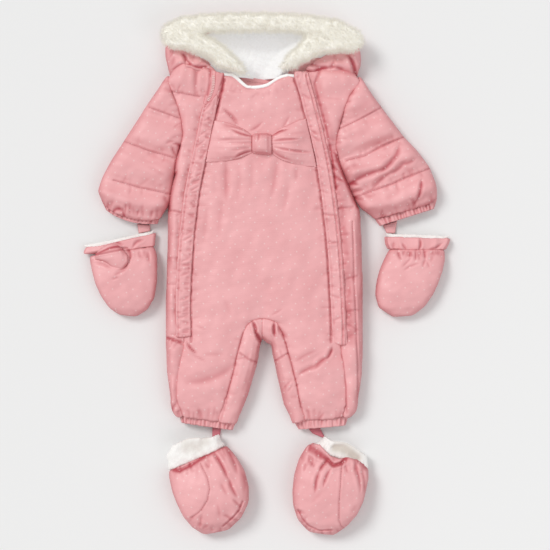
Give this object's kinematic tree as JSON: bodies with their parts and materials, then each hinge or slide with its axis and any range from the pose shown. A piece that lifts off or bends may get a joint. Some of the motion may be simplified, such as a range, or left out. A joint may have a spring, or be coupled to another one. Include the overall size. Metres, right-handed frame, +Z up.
{
  "type": "baby snowsuit",
  "caption": "Padded one-piece baby snowsuit laid flat on its back, with a fur-edged hood, a bow, zip plackets down both sides, and mittens and booties on tabs.",
  "frame": {"origin": "on the flat underside of the back, below the trunk", "axes": "+Y up the garment towards the hood, +X towards the wearer's left, +Z up out of the surface that it lies on"},
  "size_m": [0.5305, 0.754, 0.0526],
  "materials": {
    "pink_shell": "matte",
    "pink_trim": "matte",
    "fleece": "matte",
    "faux_fur": "matte"
  },
  "bodies": {
    "root": {"back_body": "pink_shell", "front_body": "pink_shell", "side_front_right": "pink_shell", "inner_leg_right": "pink_shell", "side_front_left": "pink_shell", "inner_leg_left": "pink_shell", "sleeve_right": "pink_shell", "hood_right": "pink_shell", "sleeve_left": "pink_shell", "hood_left": "pink_shell", "bow_loop_right": "pink_shell", "bow_loop_left": "pink_shell", "bow_knot": "pink_shell", "mitten_right": "pink_shell", "mitten_left": "pink_shell", "mitten_band_right": "pink_shell", "mitten_band_left": "pink_shell", "mitten_thumb_right": "pink_shell", "bootie_right": "pink_shell", "bootie_sole_right": "pink_shell", "bootie_left": "pink_shell", "bootie_sole_left": "pink_shell", "placket_left": "pink_trim", "placket_right": "pink_trim", "zip_tape_right": "pink_trim", "neck_facing": "pink_trim", "sleeve_cuff_right": "pink_trim", "sleeve_cuff_left": "pink_trim", "ankle_cuff_right": "pink_trim", "ankle_cuff_left": "pink_trim", "mitten_tab_right": "pink_trim", "mitten_tab_left": "pink_trim", "bootie_tab_right": "pink_trim", "bootie_tab_left": "pink_trim", "hood_lining": "fleece", "neck_binding": "fleece", "mitten_lining_right": "fleece", "mitten_lining_left": "fleece", "bootie_collar_right": "fleece", "bootie_collar_left": "fleece", "hood_fur": "faux_fur"}
  },
  "joints": []
}
